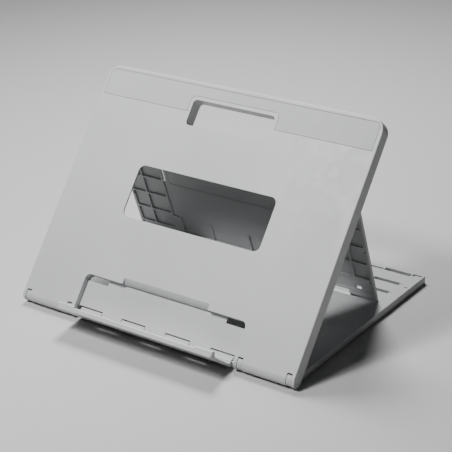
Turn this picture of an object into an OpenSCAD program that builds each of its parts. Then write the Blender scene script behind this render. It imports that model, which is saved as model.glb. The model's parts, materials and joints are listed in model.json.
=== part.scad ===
// Folding laptop stand: a hollow deck hinged at the front of a flat base tray,
// held up by a ribbed prop panel whose feet stand on the tray, with a fold-out
// ledge at the bottom of the deck. Millimetres, Z up, front towards -Y.

/* [Pose] */
// Deck slope above the table, degrees
deck_tilt = 51.2; // [20:0.1:80]
// Angle from the stowed prop to the standing prop, degrees
prop_open = 57.49; // [0:0.01:90]

/* [Deck] */
// Width of the deck
deck_w = 356; // [300:1:420]
// Hinge axis to the top edge of the deck
deck_len = 276.2; // [200:0.1:340]
// Deck rim depth, also the diameter of its round bottom edge
deck_t = 14.8; // [10:0.1:24]
// Skin thickness
skin = 2; // [1.2:0.1:4]
// Side rim wall
side_wall = 3.8; // [2:0.1:6]
// Top rim wall
top_wall = 2.8; // [2:0.1:6]
// Corner radius of the deck top corners
deck_corner = 15; // [4:0.5:40]

/* [Window] */
// Window half width
win_u = 89.3; // [40:0.1:140]
// Window lower edge up the deck
win_v0 = 111.2; // [80:0.1:140]
// Window upper edge up the deck
win_v1 = 171; // [140:0.1:200]
// Window corner radius
win_r = 7.5; // [2:0.1:20]

/* [Handle] */
// Handle opening half width
hand_u = 52.8; // [40:0.1:70]
// Handle opening lower edge
hand_v0 = 225.7; // [210:0.1:235]
// Handle opening upper edge
hand_v1 = 255.4; // [240:0.1:262]
// Handle opening corner radius
hand_r = 4.5; // [2:0.1:12]
// Wall of the handle liner
liner_wall = 1.8; // [1:0.1:3]

/* [Grip pad] */
// Pad half width
pad_u = 173.4; // [120:0.1:176]
// Pad lower edge
pad_v0 = 241.2; // [230:0.1:255]
// Pad upper edge
pad_v1 = 271; // [262:0.1:274]
// Pad corner radius
pad_r = 6.5; // [2:0.5:14]
// Half width of the notch round the handle
pad_notch_u = 57; // [53:0.1:70]
// Top of the notch round the handle
pad_notch_v = 259.7; // [256:0.1:266]
// Pad thickness
pad_t = 1; // [0.6:0.1:1.4]

/* [Ledge] */
// Ledge half width
ledge_u = 100.5; // [60:0.1:130]
// Ledge hinge axis up the deck
ledge_v = -2; // [-5:0.1:0]
// Ledge hinge axis height above the deck hinge axis
ledge_w = 1; // [0:0.1:3]
// Ledge knuckle radius
ledge_r = 2.5; // [2:0.1:3]
// Ledge hinge axis to the underside of the plate
ledge_drop = 5.5; // [4:0.1:6.5]
// Ledge plate thickness
ledge_t = 2.3; // [1.5:0.1:3]
// Free end of the ledge from its hinge axis
ledge_reach = 41.4; // [30:0.1:50]
// Lip depth along the ledge
lip_d = 8; // [4:0.1:12]
// Lip height above the plate in the middle
lip_mid_h = 2.7; // [1:0.1:6]
// Lip height above the plate at the raised ends
lip_end_h = 4.6; // [1:0.1:7]
// Inner end of the raised lip sections
lip_end_u = 78.5; // [50:0.5:95]
// Ledge rod radius
ledge_rod_r = 1.1; // [0.8:0.1:1.4]

/* [Ledge recess] */
// Recess half width
rec_u = 105.2; // [80:0.1:130]
// Recess upper edge
rec_v = 40.3; // [34:0.1:50]
// Recess floor height above the deck hinge axis
rec_floor = 0.9; // [0:0.1:3]
// Recess upper corner radius
rec_r = 6; // [2:0.5:6.5]
// Finger scoop half width
scoop_u = 56; // [30:0.5:80]
// Finger scoop upper edge
scoop_v = 47; // [42:0.1:60]

/* [Base] */
// Base half width
base_u = 173.4; // [140:0.1:176]
// Base rear edge behind the hinge axis
base_y1 = 272.6; // [220:0.1:300]
// Base corner radius
base_corner = 2.6; // [2.5:0.1:12]
// Base top above the hinge axis
base_top = 0.45; // [0:0.05:1]
// Front edge of the tray behind the hinge axis
base_y0 = 8.6; // [8:0.1:14]
// Hinge axis to the underside of the tray
base_drop = 7.4; // [6:0.1:9]
// Ear radius
ear_r = 7; // [5:0.1:7.2]
// Ear width
ear_w = 5.4; // [3:0.1:8]
// First foot row behind the hinge axis
row_y = 190.2; // [150:0.1:220]
// Pitch of the foot rows
row_pitch = 24.3; // [15:0.1:30]
// Rubber foot radius
foot_r = 6.5; // [4:0.5:12]
// Rubber foot height showing below the tray
foot_show = 1.2; // [0.5:0.1:3]

/* [Prop] */
// Prop pivot up the deck
prop_v = 216.5; // [180:0.1:240]
// Prop pivot height above the deck hinge axis
prop_w = 2.9; // [2:0.1:4]
// Pivot to the centre of the round foot tip
prop_len = 177.19; // [140:0.01:200]
// Prop half width
prop_u = 158; // [120:0.5:165]
// Prop thickness
prop_t = 3.8; // [3:0.1:5]
// Prop pin radius
prop_pin_r = 1; // [0.8:0.1:1.5]
// Inner end of each prop foot
prop_foot_u = 124; // [100:0.5:140]
// Centre of each hinge clamp
clamp_u = 130; // [100:1:145]
// Width of each hinge clamp
clamp_w = 24; // [12:1:30]

/* [Hidden] */
$fn = 48;
eps = 0.01;
over = 1;
run = 0.05;
snug = 0.02;
gap = 0.4;
r_edge = deck_t / 2;
skin_z = r_edge - skin;
hole_r = 2;
ear_u = [112.5, 171];
slot_half = ear_w / 2 + gap;
pin_u0 = ear_u[0] - ear_w / 2;
pin_u1 = ear_u[1] + ear_w / 2;
in_u = deck_w / 2 - side_wall;
in_v = deck_len - top_wall;
knuckle_in = [13.8, 44.8];
knuckle_out = [72, ledge_u];
notch_in = [13.2, 45.4];
notch_out = [71.4, 104.8];
notch_v = 5.3;
trough_v = 33.6;
trough_step = 0.5;
scoop_w = 3.4;
pocket_u = [77.8, 104];
bay_u = rec_u + skin + 1.4;
bay_y = rec_v + skin + 1.6;
bay_z = -2;
cut_u = 58;
cut_y = [220.8, 260.4];
top_skin = 2;
prop_s = prop_len + prop_t / 2;
shoe_h = 7;
tongue_t = 1.6;
tongue_h = 4;
notch_half = clamp_w / 2 + gap;
plug_r = 2.6;
plug_t = 1.6;
axis_h = base_drop + foot_show;
front_y = (ledge_v - ledge_drop) * cos(deck_tilt) - (ledge_w + ledge_reach) * sin(deck_tilt);
y_mid = (front_y + base_y1) / 2;

shell_col = [0.74, 0.75, 0.76];
pad_col = [0.66, 0.67, 0.68];
steel_col = [0.62, 0.63, 0.65];
rubber_col = [0.18, 0.18, 0.19];

// ---------- frames ----------
module on_base() { translate([0, -y_mid, axis_h]) children(); }
module on_deck() { on_base() rotate([deck_tilt, 0, 0]) children(); }
module on_prop() {
  on_deck() translate([0, prop_v, prop_w]) rotate([prop_open, 0, 0]) children();
}
// rest pose of the ledge is folded out, square to the deck
module on_ledge() { on_deck() translate([0, ledge_v, ledge_w]) children(); }

// ---------- helpers ----------
module both() { children(); mirror([1, 0, 0]) children(); }
module side(s) { if (s < 0) mirror([1, 0, 0]) children(); else children(); }
// rounded rectangle from [x0, y0] to [x1, y1]
module rrect(x0, y0, x1, y1, r) {
  union() {
    translate([x0 + r, y0]) square([x1 - x0 - 2 * r, y1 - y0]);
    translate([x0, y0 + r]) square([x1 - x0, y1 - y0 - 2 * r]);
    for (x = [x0 + r, x1 - r]) for (y = [y0 + r, y1 - r]) translate([x, y]) circle(r);
  }
}
// cylinder along X from x0 to x1
module xcyl(r, x0, x1) { translate([x0, 0, 0]) rotate([0, 90, 0]) cylinder(r = r, h = x1 - x0); }
// box by two corners
module box(a, b) { translate(a) cube([b[0] - a[0], b[1] - a[1], b[2] - a[2]]); }
// sweep a (y, z) outline along X
module xsweep(x0, x1) {
  translate([x0, 0, 0]) rotate([90, 0, 90]) linear_extrude(height = x1 - x0) children();
}

// ---------- deck ----------
module deck_plan() {
  difference() {
    translate([-deck_w / 2, -r_edge - over]) square([deck_w, deck_len + r_edge + over]);
    both() translate([deck_w / 2 - deck_corner, deck_len - deck_corner])
      difference() {
        square([deck_corner + over, deck_corner + over]);
        circle(deck_corner);
      }
  }
}
module deck_side() {
  union() {
    circle(r_edge);
    translate([0, -r_edge]) square([deck_len, deck_t]);
  }
}
// outline of the deck across its hollow middle
module deck_mid() {
  union() {
    circle(r_edge);
    translate([0, skin_z]) square([deck_len, skin]);
    translate([in_v, -r_edge]) square([top_wall, deck_t]);
  }
}
module deck_body() {
  r_in = deck_corner - side_wall;
  intersection() {
    translate([0, 0, -r_edge - over]) linear_extrude(height = deck_t + 2 * over) deck_plan();
    union() {
      xsweep(-in_u, in_u) deck_mid();
      both() xsweep(in_u, deck_w / 2 + over) deck_side();
      // fill behind the rounded corners
      both() translate([in_u - r_in, in_v - r_in, -r_edge]) linear_extrude(height = deck_t - skin / 2)
        difference() {
          square([r_in + 1, r_in + 1]);
          circle(r_in);
        }
      // box behind the ledge recess, and the sloped back of the scoop
      box([-rec_u - skin, 0, rec_floor - skin], [rec_u + skin, rec_v + skin, skin_z + skin / 2]);
      xsweep(-scoop_u - skin, scoop_u + skin)
        polygon([[rec_v, rec_floor - skin], [rec_v + skin, rec_floor - skin],
                 [scoop_v + skin, skin_z], [scoop_v + skin, skin_z + skin / 2],
                 [rec_v, skin_z + skin / 2]]);
    }
  }
}
// ledge recess outline with round upper corners
module rec_plan(half, v0, v1) {
  difference() {
    translate([-half, v0]) square([2 * half, v1 - v0]);
    both() translate([half - rec_r, v1 - rec_r])
      difference() {
        square([rec_r + over, rec_r + over]);
        circle(rec_r);
      }
  }
}
module rec_prism(w0, w1) { translate([0, 0, w0]) linear_extrude(height = w1 - w0) children(); }
module deck_ribs() {
  rib = 1.6;
  rib_z = 1.2;
  both() box([163, r_edge + over, rib_z], [163 + rib, in_v, skin_z + eps]);
  both() for (v = [16, 26])
    box([rec_u + skin, v, rib_z], [163 + rib, v + rib, skin_z + eps]);
  both() for (v = [100, 150, 200, 250])
    box([163, v, rib_z], [in_u + eps, v + rib, skin_z + eps]);
  both() box([60, 264, rib_z], [in_u - 8, 264 + rib, skin_z + eps]);
}
module screw_spots() {
  for (s = [-1, 1]) for (d = [-8, 8]) translate([s * clamp_u + d, prop_v + 8.5, 0]) children();
}
module deck_shell() {
  boss_r = 3;
  pilot_r = 0.8;
  color(shell_col) on_deck() difference() {
    union() {
      difference() {
        deck_body();
        // ledge recess, its trough, lip pockets and finger scoop
        rec_prism(rec_floor, r_edge + over) rec_plan(rec_u, -2 * r_edge, rec_v);
        rec_prism(rec_floor - trough_step, rec_floor + over) rec_plan(rec_u - over, trough_v, rec_v);
        both() intersection() {
          rec_prism(-r_edge, rec_floor + over) rec_plan(pocket_u[1], trough_v, rec_v - gap);
          box([pocket_u[0], trough_v - over, -r_edge], [rec_u, rec_v, rec_floor + over]);
        }
        xsweep(-scoop_u, scoop_u)
          polygon([[rec_v - over, scoop_w], [rec_v, scoop_w],
                   [scoop_v, r_edge], [scoop_v, r_edge + over], [rec_v - over, r_edge + over]]);
      }
      // deck knuckles of the ledge hinge
      translate([0, ledge_v, ledge_w]) {
        xcyl(ledge_r, -notch_in[0], notch_in[0]);
        both() xcyl(ledge_r, notch_in[1] + snug, notch_out[0] - snug);
      }
      deck_ribs();
      screw_spots() translate([0, 0, prop_w - 0.7]) cylinder(r = boss_r, h = skin_z - prop_w + 0.7 + eps);
    }
    // room for the ledge knuckles
    for (n = [notch_in, notch_out]) both()
      box([n[0], -2 * r_edge, -2 * r_edge], [n[1], notch_v, r_edge]);
    translate([0, ledge_v, ledge_w]) xcyl(ledge_rod_r + snug, -pin_u0 - over, pin_u0 + over);
    // slots for the base ears
    both() for (u = ear_u) {
      x1 = min(u + slot_half, in_u);
      box([u - slot_half, -r_edge - over, -r_edge - over], [x1, 4.9, r_edge + over]);
      box([u - slot_half, 4, -r_edge - over], [x1, r_edge + over, skin_z]);
    }
    // bore for the deck hinge pins and the plugs that close it
    both() xcyl(hole_r + run, pin_u0 - over, deck_w / 2 + over);
    both() xcyl(plug_r, deck_w / 2 - plug_t, deck_w / 2 + over);
    // window and handle opening
    translate([0, 0, skin_z - over]) linear_extrude(height = skin + 2 * over)
      rrect(-win_u, win_v0, win_u, win_v1, win_r);
    translate([0, 0, skin_z - over]) linear_extrude(height = skin + 2 * over)
      rrect(-hand_u, hand_v0, hand_u, hand_v1, hand_r);
    // shallow pocket for the grip pad
    translate([0, 0, r_edge - pad_t]) linear_extrude(height = pad_t + over) pad_outline(gap);
    screw_spots() translate([0, 0, prop_w - over]) cylinder(r = pilot_r, h = skin_z - prop_w + over + 0.6);
  }
}
// pad outline, grown all round by g
module pad_outline(g) {
  difference() {
    union() {
      rrect(-pad_u - g, pad_v0 - g, pad_u + g, pad_v1 + g, pad_r + g);
      translate([-pad_u - g, pad_v0 - g]) square([2 * pad_u + 2 * g, 2 * pad_r]);
    }
    rrect(-pad_notch_u + g, pad_v0 - 2 * pad_r, pad_notch_u - g, pad_notch_v - g, pad_r);
  }
}
module grip_pad() {
  color(pad_col) on_deck() translate([0, 0, r_edge - pad_t]) linear_extrude(height = pad_t) pad_outline(0);
}
module handle_liner() {
  w = liner_wall;
  flange = 2.4;
  flange_t = 1.4;
  color(shell_col) on_deck() difference() {
    union() {
      translate([0, 0, -r_edge]) linear_extrude(height = skin_z + r_edge)
        rrect(-hand_u - w, hand_v0 - w, hand_u + w, hand_v1 + w, hand_r + w);
      translate([0, 0, skin_z - flange_t]) linear_extrude(height = flange_t)
        rrect(-hand_u - w - flange, hand_v0 - w - flange, hand_u + w + flange,
              hand_v1 + w + flange, hand_r + w + flange);
    }
    translate([0, 0, -r_edge - over]) linear_extrude(height = deck_t + 2 * over)
      rrect(-hand_u, hand_v0, hand_u, hand_v1, hand_r);
  }
}

// ---------- ledge ----------
// drawn folded out: +Z is away from the deck, +Y up the deck, origin on its axis
module support_ledge() {
  lip_slope = 3.6;
  inner_z = 2.8;
  under = -ledge_drop;
  top = under + ledge_t;
  round = 1.5;
  color(shell_col) on_ledge() difference() {
    union() {
      for (k = [knuckle_in, knuckle_out]) both() {
        xcyl(ledge_r, k[0], k[1]);
        xsweep(k[0], k[1]) knuckle_outline(under, top);
      }
      translate([0, under, 0]) rotate([-90, 0, 0]) linear_extrude(height = ledge_t)
        mirror([0, 1]) rrect(-ledge_u, inner_z, ledge_u, ledge_reach, round);
      xsweep(-ledge_u, ledge_u) lip(top, lip_mid_h, lip_slope);
      both() xsweep(lip_end_u, ledge_u) lip(top, lip_end_h, lip_slope);
    }
    xcyl(ledge_rod_r + run, -ledge_u - over, ledge_u + over);
  }
}
// upright block of a ledge knuckle: sloped front, rounded-off heel
module knuckle_outline(under, top) {
  block_top = 6;
  polygon([[block_top, -2.8], [block_top, -0.7], [-2, 2.2], [top, 6], [under, 6], [under, 1.5],
           [under + 1.2, -1.2], [-2.4, -3.4], [2, -3.8]]);
}
module lip(y0, h, slope) {
  soft = 1;
  polygon([[y0 - eps, ledge_reach - lip_d], [y0 + h, ledge_reach - lip_d + slope],
           [y0 + h, ledge_reach - soft], [y0 + h - soft, ledge_reach], [y0 - eps, ledge_reach]]);
}
module ledge_hinge_rod() {
  end = pin_u0 - 1.2;
  color(steel_col) on_ledge() xcyl(ledge_rod_r, -end, end);
}

// ---------- base ----------
module base_plan() { rrect(-base_u, base_y0, base_u, base_y1, base_corner); }
module base_ear() {
  flat_angle = 51;
  flat_v = 3.4;
  union() {
    difference() {
      xcyl(ear_r, -ear_w / 2, ear_w / 2);
      rotate([flat_angle, 0, 0]) box([-ear_w, flat_v, -ear_r], [ear_w, 2 * ear_r, 2 * ear_r]);
    }
    box([-ear_w / 2, 0, -base_drop], [ear_w / 2, base_y0 + 6, base_top]);
  }
}
module foot_spots() { for (y = [34, 251.5]) for (s = [-1, 1]) translate([s * 152, y, 0]) children(); }
module base_tray() {
  wall = 2.4;
  rib = 1.6;
  slot_d = 5.8;
  last_y = [261.6, 268];
  slot_u = [126, 158.4];
  floor_z = base_top - top_skin;
  socket_z = -base_drop + 1.4;
  color(shell_col) on_base() difference() {
    union() {
      difference() {
        translate([0, 0, -base_drop]) linear_extrude(height = base_drop + base_top) base_plan();
        // underside hollow, with skins left above
        difference() {
          translate([0, 0, -base_drop - over]) linear_extrude(height = base_drop + over + floor_z)
            rrect(-base_u + wall, base_y0 + wall, base_u - wall, base_y1 - wall, 1.5);
          // wall round the front bay
          box([-bay_u - wall, 0, bay_z - top_skin], [bay_u + wall, bay_y + wall, over]);
          box([-scoop_u - 3.4 - wall, 0, bay_z - top_skin], [scoop_u + 3.4 + wall, scoop_v + 4 + wall, over]);
          // wall round the handle cut-out
          box([-cut_u - wall, cut_y[0] - wall, -base_drop - over], [cut_u + wall, cut_y[1] + wall, over]);
          foot_spots() translate([0, 0, -base_drop - over]) cylinder(r = foot_r + 1.6, h = base_drop);
          // sockets under the foot slots
          both() for (k = [0 : 2]) {
            y = row_y + k * row_pitch;
            box([slot_u[0] - rib, y - slot_d / 2 - rib, -base_drop],
                [slot_u[1] + rib, y + slot_d / 2 + rib, over]);
          }
          both() box([108 - rib, last_y[0] - rib, -base_drop], [base_u - wall + eps, last_y[1] + 3, over]);
          // ribs
          for (x = [-150, -90, -30, 30, 90, 150])
            box([x - rib / 2, bay_y, -base_drop + 1], [x + rib / 2, base_y1, over]);
          for (y = [80, 130, 176, 204]) box([-base_u, y, -base_drop + 1], [base_u, y + rib, over]);
        }
      }
      both() for (u = ear_u) translate([u, 0, 0]) base_ear();
    }
    // front bay that takes the ledge recess of the closed deck
    box([-bay_u, base_y0 - over, bay_z], [bay_u, bay_y, over + 1]);
    box([-scoop_u - 3.4, base_y0, bay_z], [scoop_u + 3.4, scoop_v + 4, over + 1]);
    // cut-out under the handle
    box([-cut_u, cut_y[0], -base_drop - over], [cut_u, cut_y[1], over + 1]);
    // three plain rows of foot slots and the wider last row
    both() for (k = [0 : 2]) {
      y = row_y + k * row_pitch;
      box([slot_u[0], y - slot_d / 2, socket_z], [slot_u[1], y + slot_d / 2, over + 1]);
      if (k > 0) translate([slot_u[1] + 2, y + 1.2, floor_z - over]) cylinder(r = 0.8, h = top_skin + 2 * over);
    }
    both() box([108, last_y[0], socket_z], [124, last_y[0] + 3.4, over + 1]);
    both() box([125.5, last_y[0], socket_z], [158.6, last_y[1], over + 1]);
    both() box([160.2, last_y[1] - 1.4, socket_z], [170.6, last_y[1] + 1, over + 1]);
    both() box([160.2, last_y[1] - 4, socket_z], [163, last_y[1] + 1, over + 1]);
    // short index mark beside the rows
    both() box([166, 233.8, base_top - 0.8], [170.8, 235.4, over + 1]);
    foot_spots() translate([0, 0, -base_drop - over]) cylinder(r = foot_r + snug, h = 2 + over);
    both() xcyl(hole_r + snug, pin_u0 - over, pin_u1 + over);
    // square off the ears where they would stand proud of the tray underside
    box([-base_u - over, -2 * base_drop, -2 * base_drop], [base_u + over, base_y1, -base_drop]);
  }
}
module base_foot(x, y) {
  dome = 0.6;
  color(rubber_col) on_base() translate([x, y, -axis_h]) union() {
    cylinder(r1 = foot_r - dome, r2 = foot_r, h = dome);
    translate([0, 0, dome]) cylinder(r = foot_r, h = foot_show + 2 - dome);
  }
}
module base_foot_front_left() { base_foot(-152, 34); }
module base_foot_front_right() { base_foot(152, 34); }
module base_foot_rear_left() { base_foot(-152, 251.5); }
module base_foot_rear_right() { base_foot(152, 251.5); }

// ---------- deck hinge ----------
module deck_pin(s) { color(steel_col) on_base() side(s) xcyl(hole_r, pin_u0, pin_u1); }
module deck_hinge_pin_left() { deck_pin(-1); }
module deck_hinge_pin_right() { deck_pin(1); }
module plug(s) { color(shell_col) on_deck() side(s) xcyl(plug_r - snug, deck_w / 2 - plug_t, deck_w / 2); }
module hinge_plug_left() { plug(-1); }
module hinge_plug_right() { plug(1); }

// ---------- prop ----------
// drawn with the pivot at the origin, +Y towards the pivot from the foot, front +Z;
// s(v) gives the Y of a height above the foot tip
function s(h) = h - prop_s;
module pocket(x0, h0, x1, h1, deep) {
  translate([0, 0, prop_t / 2 - deep]) linear_extrude(height = deep + over)
    rrect(x0, s(h0), x1, s(h1), 0.6);
}
module prop_outline() {
  // top edge runs to the pivot line, feet stop at the shoes
  difference() {
    translate([-prop_u, s(shoe_h)]) square([2 * prop_u, prop_s - shoe_h]);
    translate([-prop_foot_u, s(0) - over]) square([2 * prop_foot_u, 6 + over + 1]);
    translate([-scoop_u - 5, s(0)]) square([2 * scoop_u + 10, 14]);
  }
}
module strut_panel() {
  half = prop_t / 2;
  rows = [29, 51, 75, 100, 124];
  rib = 2.2;
  rail = 105;
  mid = 134.7;
  rim_u = prop_u - 3.5;
  plateau = 95;
  low = 48.5;
  step = 69;
  ridge = 99;
  cell = 52;
  deep = 2.1;
  color(shell_col) on_prop() difference() {
    union() {
      translate([0, 0, -half]) linear_extrude(height = prop_t) prop_outline();
      xcyl(half, -prop_u, prop_u);
      // tongues inside the shoes
      both() box([prop_foot_u + 3, s(shoe_h - tongue_h), -tongue_t / 2],
                 [prop_u - 3, s(shoe_h + over), tongue_t / 2]);
    }
    // ribbed cells at both sides
    both() for (k = [0 : len(rows) - 2]) {
      pocket(rail + rib / 2, rows[k] + rib / 2, mid - rib / 2, rows[k + 1] - rib / 2, deep);
      pocket(mid + rib / 2, rows[k] + rib / 2, rim_u, rows[k + 1] - rib / 2, deep);
    }
    both() pocket(rail + 9, rows[4] + rib / 2, rim_u, prop_s - 14, deep);
    // plain band above the feet, with the rim left round it
    both() pocket(prop_foot_u - 22, shoe_h + 3, rim_u, rows[0] - rib / 2, 0.8);
    // channel between the rail and the smooth centre
    both() pocket(plateau + 1.2, low, rail - rib / 2, ridge + 1, 1.2);
    both() translate([0, 0, -half - over]) linear_extrude(height = prop_t + 2 * over)
      rrect(99.7, s(102), 104.2, s(120), 1);
    // smooth centre: shallow upper field, step down to the lower band, cells below
    pocket(-plateau, ridge, plateau, prop_s - 14, 0.3);
    pocket(-plateau - 1.4, low - 1, plateau + 1.4, step, 0.6);
    for (k = [-2 : 1])
      pocket(k * cell + rib / 2 + (k == -2 ? 9 : 0), rows[0] - 4,
             (k + 1) * cell - rib / 2 - (k == 1 ? 9 : 0), low, deep);
    // small latch windows above the feet, and nicks in the side rims
    both() box([133.5, s(12), -half - over], [141, s(15.6), half + over]);
    both() for (h = [25, 69]) box([rim_u - 1.4, s(h), half - 2.4], [rim_u + 1.6, s(h + 2.4), half + over]);
    // notches for the clamps
    both() box([clamp_u - notch_half, -4.6, -half - over], [clamp_u + notch_half, half + over, half + over]);
    both() xcyl(prop_pin_r + snug, clamp_u - clamp_w / 2 - 10, prop_u + over);
  }
}
module shoe(sgn) {
  half = prop_t / 2;
  color(shell_col) on_prop() side(sgn) difference() {
    union() {
      translate([0, s(half), 0]) xcyl(half, prop_foot_u, prop_u);
      box([prop_foot_u, s(half), -half], [prop_u, s(shoe_h) - snug, half]);
    }
    box([prop_foot_u + 3 - snug, s(shoe_h - tongue_h) - snug, -tongue_t / 2 - snug],
        [prop_u - 3 + snug, s(shoe_h + over), tongue_t / 2 + snug]);
  }
}
module strut_foot_left() { shoe(-1); }
module strut_foot_right() { shoe(1); }
module prop_pin(sgn) {
  color(steel_col) on_prop() side(sgn)
    xcyl(prop_pin_r, clamp_u - clamp_w / 2 - 9.5, clamp_u + clamp_w / 2 + 9.5);
}
module strut_hinge_pin_left() { prop_pin(-1); }
module strut_hinge_pin_right() { prop_pin(1); }
module clamp(sgn) {
  ring = 2.1;
  plate_t = 1.2;
  plate_v = 12;
  half = clamp_w / 2;
  head_r = 1.9;
  color(steel_col) on_deck() difference() {
    side(sgn) translate([clamp_u, prop_v, prop_w]) difference() {
      union() {
        xcyl(ring, -half, half);
        box([-half, 0, -ring + 0.1], [half, plate_v, -ring + 0.1 + plate_t]);
      }
      xcyl(prop_pin_r + run, -half - over, half + over);
    }
    screw_spots() translate([0, 0, prop_w - ring + 0.1 - eps]) {
      cylinder(r1 = head_r + run, r2 = 1 + run, h = 1);
      cylinder(r = 1 + run, h = 2);
    }
  }
}
module strut_clamp_left() { clamp(-1); }
module strut_clamp_right() { clamp(1); }
module clamp_screws() {
  head_r = 1.9;
  w0 = prop_w - 2;
  color(steel_col) on_deck() screw_spots() translate([0, 0, w0]) difference() {
    union() {
      cylinder(r1 = head_r, r2 = 1, h = 1);
      cylinder(r = 0.78, h = 4.2);
      cylinder(r = 1, h = 1.25);
    }
    for (a = [0, 90]) rotate([0, 0, a]) box([-1.1, -0.22, -over], [1.1, 0.22, 0.5]);
  }
}

deck_shell();
handle_liner();
grip_pad();
support_ledge();
ledge_hinge_rod();
base_tray();
deck_hinge_pin_left();
deck_hinge_pin_right();
hinge_plug_left();
hinge_plug_right();
strut_panel();
strut_foot_left();
strut_foot_right();
strut_hinge_pin_left();
strut_hinge_pin_right();
strut_clamp_left();
strut_clamp_right();
clamp_screws();
base_foot_front_left();
base_foot_front_right();
base_foot_rear_left();
base_foot_rear_right();
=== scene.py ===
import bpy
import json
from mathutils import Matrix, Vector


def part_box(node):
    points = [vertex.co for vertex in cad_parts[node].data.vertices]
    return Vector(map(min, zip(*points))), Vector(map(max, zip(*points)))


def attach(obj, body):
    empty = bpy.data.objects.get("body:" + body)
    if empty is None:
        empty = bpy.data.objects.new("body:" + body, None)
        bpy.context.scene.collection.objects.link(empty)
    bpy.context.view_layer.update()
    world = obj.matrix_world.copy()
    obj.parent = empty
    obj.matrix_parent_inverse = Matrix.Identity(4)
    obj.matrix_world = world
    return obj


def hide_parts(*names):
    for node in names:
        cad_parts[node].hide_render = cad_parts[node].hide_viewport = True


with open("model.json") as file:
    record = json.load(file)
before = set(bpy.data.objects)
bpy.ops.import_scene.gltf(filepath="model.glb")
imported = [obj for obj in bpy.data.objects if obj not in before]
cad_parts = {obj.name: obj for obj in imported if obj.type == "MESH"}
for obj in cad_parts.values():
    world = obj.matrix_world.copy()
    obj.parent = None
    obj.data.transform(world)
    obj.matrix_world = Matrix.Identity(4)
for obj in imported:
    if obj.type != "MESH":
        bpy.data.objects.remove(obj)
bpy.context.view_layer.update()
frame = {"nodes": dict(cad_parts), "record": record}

import json
import math
import bpy
import bmesh
from mathutils import Vector, Matrix

MM = 0.001
nodes = frame["nodes"]
scene = bpy.context.scene

# ---------- the deck's own directions: u across, v up the deck, w out of its face ----------
joints = {j["name"]: j for j in frame["record"]["behaviour"]["joints"]}
AXIS = Vector(joints["deck_tilt"]["pos_m"])          # deck hinge axis
TILT = math.radians(51.2)
UP = Vector((0, math.cos(TILT), math.sin(TILT)))
OUT = Vector((0, -math.sin(TILT), math.cos(TILT)))

# sizes along them, in mm
HALF_T = 7.4                        # half the deck's thickness
ON_FACE = 0.03                      # a corner this near to a face is on it
RIM_U, RIM_V = 177.9, 276.1         # just inside the deck's sides and top edge
CORNER_U, CORNER_V = 162.5, 261     # where its rounded top corners begin
RIM_FOOT = -0.5                     # the rim starts here, just under the hinge axis
HINGE_V = 12                        # the hinge edge's small features end here
RECESS_U, RECESS_V = 108, 49        # just outside the ledge recess
FOOT_ZONE = 11                      # radius round a rear rubber foot
TRAY_LOW = 1.5                      # this far under the hinge axis is below the tray's top

# ---------- edge radii ----------
MERGE = 2e-6                        # corners nearer than this are one
FLAT = math.radians(0.6)            # faces nearer to flat than this are joined
SHARP = math.radians(28)            # an edge sharper than this gets a radius
SHADED_SHARP = math.radians(22)     # an edge sharper than this isn't smoothed over
FACE_ROOM = 2.6                     # a strip of this many radii across has room for one
EDGE_ROOM = 2.2                     # so has an edge of this many radii in length

# ---------- camera ----------
SENSOR = 36
LENS = 114.67
AIM = Vector((36.4, 82.8, 101.3)) * MM               # from the hinge axis
DISTANCE = 1.5037
AZIMUTH, ELEVATION, ROLL = (math.radians(a) for a in (35.96, 24.25, -1.585))

cam_data = bpy.data.cameras.new("camera")
cam = bpy.data.objects.new("camera", cam_data)
scene.collection.objects.link(cam)
cam_data.sensor_width = SENSOR
cam_data.lens = LENS
cam_data.clip_start = 0.05
cam_data.clip_end = 50
back = Vector((math.sin(AZIMUTH) * math.cos(ELEVATION),
               -math.cos(AZIMUTH) * math.cos(ELEVATION),
               math.sin(ELEVATION)))
level = Vector((math.cos(AZIMUTH), math.sin(AZIMUTH), 0))
right = level * math.cos(ROLL) + back.cross(level) * math.sin(ROLL)
place = Matrix((right, back.cross(right), back)).transposed().to_4x4()
place.translation = AXIS + AIM + back * DISTANCE
cam.matrix_world = place
scene.camera = cam


# ---------- materials ----------
def new_material(name):
    m = bpy.data.materials.new(name)
    m.use_nodes = True
    nt = m.node_tree
    return m, nt, nt.nodes["Principled BSDF"]


def noise(nt, vector, scale, detail, rough=0.5, distort=0.0):
    """A noise texture's value, read at vector."""
    t = nt.nodes.new("ShaderNodeTexNoise")
    t.inputs["Scale"].default_value = scale
    t.inputs["Detail"].default_value = detail
    t.inputs["Roughness"].default_value = rough
    t.inputs["Distortion"].default_value = distort
    nt.links.new(vector, t.inputs["Vector"])
    return t.outputs["Fac"]


def ramp(nt, value, low, high, start=0.0, end=1.0):
    """A colour that goes from low to high as value goes from start to end."""
    r = nt.nodes.new("ShaderNodeValToRGB")
    for stop, colour, at in zip(r.color_ramp.elements, (low, high), (start, end)):
        stop.position = at
        stop.color = (*colour, 1)
    nt.links.new(value, r.inputs["Fac"])
    return r.outputs["Color"]


def spread(nt, value, low, high, start=0.0, end=1.0):
    """A number that goes from low to high as value goes from start to end."""
    s = nt.nodes.new("ShaderNodeMapRange")
    s.inputs["From Min"].default_value = start
    s.inputs["From Max"].default_value = end
    s.inputs["To Min"].default_value = low
    s.inputs["To Max"].default_value = high
    nt.links.new(value, s.inputs["Value"])
    return s.outputs["Result"]


def bump(nt, height, strength, depth_mm):
    """A bump node whose output drives the shader's normal."""
    b = nt.nodes.new("ShaderNodeBump")
    b.inputs["Strength"].default_value = strength
    b.inputs["Distance"].default_value = depth_mm * MM
    nt.links.new(height, b.inputs["Height"])
    nt.links.new(b.outputs["Normal"], nt.nodes["Principled BSDF"].inputs["Normal"])
    return b


def scaled(colour, by):
    return [min(1, c * by) for c in colour]


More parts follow.
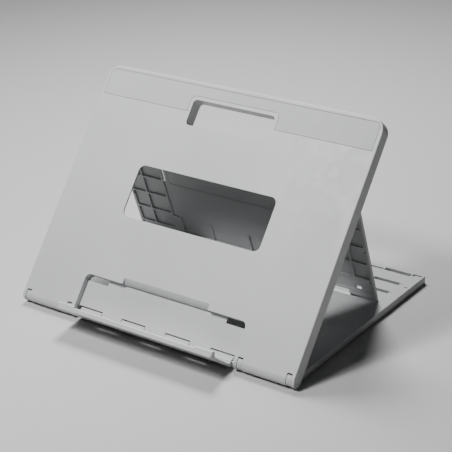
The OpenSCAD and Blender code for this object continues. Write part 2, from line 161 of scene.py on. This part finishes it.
def moulded(name, colour, rough, grain_mm, grain, vary=0.05, dapple=0.0):
    """Moulded plastic: fine grain, faint flow mottling, slightly uneven sheen."""
    m, nt, bsdf = new_material(name)
    at = nt.nodes.new("ShaderNodeTexCoord").outputs["Object"]
    fine = noise(nt, at, scale=1 / (grain_mm * MM), detail=3, rough=0.6)
    cloud = noise(nt, at, scale=9, detail=4)
    smear = noise(nt, at, scale=38, detail=5, distort=1.2)
    mottled = ramp(nt, cloud, scaled(colour, 1 - vary), scaled(colour, 1 + vary),
                   start=0.3, end=0.7)
    speck = nt.nodes.new("ShaderNodeMix")
    speck.data_type = "RGBA"
    speck.blend_type = "MULTIPLY"
    speck.inputs["Factor"].default_value = 0.06 + dapple
    nt.links.new(mottled, speck.inputs["A"])
    nt.links.new(fine, speck.inputs["B"])
    nt.links.new(speck.outputs["Result"], bsdf.inputs["Base Color"])
    nt.links.new(spread(nt, smear, rough - 0.05, rough + 0.06, start=0.3, end=0.7),
                 bsdf.inputs["Roughness"])
    bump(nt, fine, strength=grain, depth_mm=0.1)
    bsdf.inputs["IOR"].default_value = 1.5
    bsdf.inputs["Specular IOR Level"].default_value = 0.45
    return m


PEBBLE_MM = 1.1


def pebbled(name, colour, rough):
    """Grip strip: a tight pebble texture over the moulded grain."""
    m = moulded(name, colour, rough, grain_mm=0.5, grain=0.25, vary=0.03, dapple=0.05)
    nt = m.node_tree
    grain = nt.nodes["Bump"]
    cells = nt.nodes.new("ShaderNodeTexVoronoi")
    cells.inputs["Scale"].default_value = 1 / (PEBBLE_MM * MM)
    nt.links.new(nt.nodes["Texture Coordinate"].outputs["Object"], cells.inputs["Vector"])
    pebbles = bump(nt, cells.outputs["Distance"], strength=0.35, depth_mm=0.12)
    pebbles.invert = True
    nt.links.new(grain.outputs["Normal"], pebbles.inputs["Normal"])
    return m


def metal(name, colour, rough, stretch):
    """Ground or plated steel: fine lines along X, slightly uneven sheen."""
    m, nt, bsdf = new_material(name)
    lay = nt.nodes.new("ShaderNodeMapping")
    lay.inputs["Scale"].default_value = stretch
    nt.links.new(nt.nodes.new("ShaderNodeTexCoord").outputs["Object"], lay.inputs["Vector"])
    lines = noise(nt, lay.outputs["Vector"], scale=900, detail=4)
    nt.links.new(ramp(nt, lines, scaled(colour, 0.85), scaled(colour, 1.12)),
                 bsdf.inputs["Base Color"])
    nt.links.new(spread(nt, lines, rough - 0.08, rough + 0.1), bsdf.inputs["Roughness"])
    bump(nt, lines, strength=0.15, depth_mm=0.02)
    bsdf.inputs["Metallic"].default_value = 1
    return m


GREY = (0.50, 0.505, 0.51)
deck_mat = moulded("deck_plastic", GREY, rough=0.48, grain_mm=0.35, grain=0.16)
liner_mat = moulded("liner_plastic", GREY, rough=0.46, grain_mm=0.4, grain=0.12)
ledge_mat = moulded("ledge_plastic", GREY, rough=0.46, grain_mm=0.35, grain=0.14)
base_mat = moulded("base_plastic", GREY, rough=0.5, grain_mm=0.4, grain=0.16)
plug_mat = moulded("plug_plastic", GREY, rough=0.5, grain_mm=0.4, grain=0.12)
strut_mat = moulded("strut_plastic", (0.45, 0.455, 0.46), rough=0.5, grain_mm=0.45, grain=0.2)
shoe_mat = moulded("shoe_plastic", (0.47, 0.475, 0.48), rough=0.6, grain_mm=0.5, grain=0.25)
pad_mat = pebbled("pad_plastic", (0.475, 0.48, 0.485), rough=0.62)
steel_mat = metal("pin_steel", (0.55, 0.55, 0.57), rough=0.28, stretch=(0.05, 1, 1))
zinc_mat = metal("zinc_sheet", (0.52, 0.53, 0.55), rough=0.38, stretch=(0.3, 1, 1))
rubber_mat = moulded("foot_rubber", (0.03, 0.03, 0.032), rough=0.8, grain_mm=0.25, grain=0.35,
                     vary=0.15)


# ---------- softened copies of the moulded parts ----------
def bevel(bm, edges, radius, segments):
    bmesh.ops.bevel(bm, geom=edges, offset=radius, offset_type="OFFSET", segments=segments,
                    profile=0.5, affect="EDGES", clamp_overlap=False)


def softened(node, name, body, mat, fine, wide=None, wide_at=None, crisp=None):
    """A copy of a CAD node with moulded radii on its edges: wide ones where wide_at
    says so, fine ones elsewhere, but none where crisp says so or a face is too thin."""
    bm = bmesh.new()
    bm.from_mesh(nodes[node].data)
    bmesh.ops.remove_doubles(bm, verts=bm.verts, dist=MERGE)
    bmesh.ops.dissolve_limit(bm, angle_limit=FLAT, verts=bm.verts, edges=bm.edges)

    def sharp(e):
        return len(e.link_faces) == 2 and e.calc_face_angle(0) > SHARP

    def roomy(e):
        broad = all(2 * f.calc_area() > FACE_ROOM * fine * f.calc_perimeter()
                    for f in e.link_faces)
        return broad and e.calc_length() > EDGE_ROOM * fine

    def kept_crisp(e):
        return crisp is not None and any(crisp(v.co) for v in e.verts)

    if wide_at:
        bevel(bm, [e for e in bm.edges if sharp(e) and all(wide_at(v.co) for v in e.verts)],
              radius=wide, segments=4)
    bevel(bm, [e for e in bm.edges if sharp(e) and roomy(e) and not kept_crisp(e)],
          radius=fine, segments=2)
    me = bpy.data.meshes.new(name)
    bm.to_mesh(me)
    bm.free()
    me.materials.append(mat)
    me.shade_smooth()
    me.set_sharp_from_angle(angle=SHADED_SHARP)
    o = bpy.data.objects.new(name, me)
    scene.collection.objects.link(o)
    even = o.modifiers.new("even_normals", "WEIGHTED_NORMAL")
    even.keep_sharp = True
    even.weight = 90
    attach(o, body)
    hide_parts(node)


def deck_coords(p):
    d = p - AXIS
    return d.x / MM, d.dot(UP) / MM, d.dot(OUT) / MM


def deck_rim(p):
    """On the deck's outline, at its face or its back."""
    u, v, w = deck_coords(p)
    edge = abs(u) > RIM_U or v > RIM_V or (v > CORNER_V and abs(u) > CORNER_U)
    return edge and abs(abs(w) - HALF_T) < ON_FACE and v > RIM_FOOT


def deck_detail(p):
    """The hinge edge and the ledge recess, whose edges stay as sharp as they are."""
    u, v = deck_coords(p)[:2]
    return v < HINGE_V or (abs(u) < RECESS_U and v < RECESS_V)


foot_lo, foot_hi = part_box("base_foot_rear_right")
REAR_FOOT = (Vector(foot_lo) + Vector(foot_hi)) / 2


def tray_detail(p):
    """Round the rear rubber feet, where small faces meet."""
    away = math.hypot(p.y - REAR_FOOT.y, abs(p.x) - REAR_FOOT.x)
    return away < FOOT_ZONE * MM and p.z < AXIS.z - TRAY_LOW * MM


softened("deck_shell", "deck", "deck", deck_mat,
         fine=0.22 * MM, wide=1.3 * MM, wide_at=deck_rim, crisp=deck_detail)
softened("handle_liner", "handle_frame", "deck", liner_mat,
         fine=0.3 * MM)
softened("grip_pad", "grip_strip", "deck", pad_mat, fine=0.4 * MM)
softened("support_ledge", "ledge", "ledge", ledge_mat, fine=0.25 * MM)
softened("base_tray", "tray", "base", base_mat,
         fine=0.25 * MM, crisp=tray_detail)
softened("strut_panel", "prop_panel", "strut", strut_mat,
         fine=0.2 * MM)
for s in ("left", "right"):
    softened("strut_foot_" + s, "prop_shoe_" + s, "strut", shoe_mat,
             fine=0.2 * MM)
    softened("strut_clamp_" + s, "prop_clamp_" + s, "deck", zinc_mat,
             fine=0.12 * MM)
    softened("hinge_plug_" + s, "plug_" + s, "deck", plug_mat, fine=0.1 * MM)
    for w in ("front", "rear"):
        softened("base_foot_%s_%s" % (w, s), "foot_%s_%s" % (w, s), "base", rubber_mat,
                 fine=0.3 * MM)

# ---------- pins, rod and screws keep their CAD shape ----------
for name, mat in (("ledge_hinge_rod", steel_mat), ("deck_hinge_pin_left", steel_mat),
                  ("deck_hinge_pin_right", steel_mat), ("strut_hinge_pin_left", steel_mat),
                  ("strut_hinge_pin_right", steel_mat), ("clamp_screws", zinc_mat)):
    me = nodes[name].data
    if len(me.materials) == 0:
        me.materials.append(mat)
    for sl in nodes[name].material_slots:
        sl.material = mat

# ---------- floor and light ----------
FLOOR_HALF = 6
floor_me = bpy.data.meshes.new("floor")
floor_me.from_pydata([(x * FLOOR_HALF, y * FLOOR_HALF, 0)
                      for x, y in ((-1, -1), (1, -1), (1, 1), (-1, 1))], [], [(0, 1, 2, 3)])
floor = bpy.data.objects.new("floor", floor_me)
scene.collection.objects.link(floor)
floor_mat, nt, bsdf = new_material("floor_paper")
bsdf.inputs["Base Color"].default_value = (0.46, 0.46, 0.458, 1)
bsdf.inputs["Roughness"].default_value = 0.7
floor_me.materials.append(floor_mat)

world = bpy.data.worlds.new("studio")
scene.world = world
world.use_nodes = True
sky = world.node_tree.nodes["Background"]
sky.inputs["Color"].default_value = (0.93, 0.95, 1, 1)
sky.inputs["Strength"].default_value = 0.05


def area(name, at, aim, size, power):
    """A round soft light at one point, turned to another."""
    d = bpy.data.lights.new(name, "AREA")
    d.shape = "DISK"
    d.size = size
    d.energy = power
    o = bpy.data.objects.new(name, d)
    scene.collection.objects.link(o)
    o.location = at
    o.rotation_mode = "QUATERNION"
    o.rotation_quaternion = (Vector(aim) - Vector(at)).to_track_quat("-Z", "Y")


area("key", at=(-0.42, -1.0, 1.45), aim=(0, 0, 0.12), size=0.4, power=15.5)
area("near", at=(-0.2, -0.46, 0.82), aim=(0, 0.05, 0.18), size=0.15, power=6)
area("back", at=(-0.45, 0.6, 1.15), aim=(0, 0.05, 0.05), size=0.5, power=24)
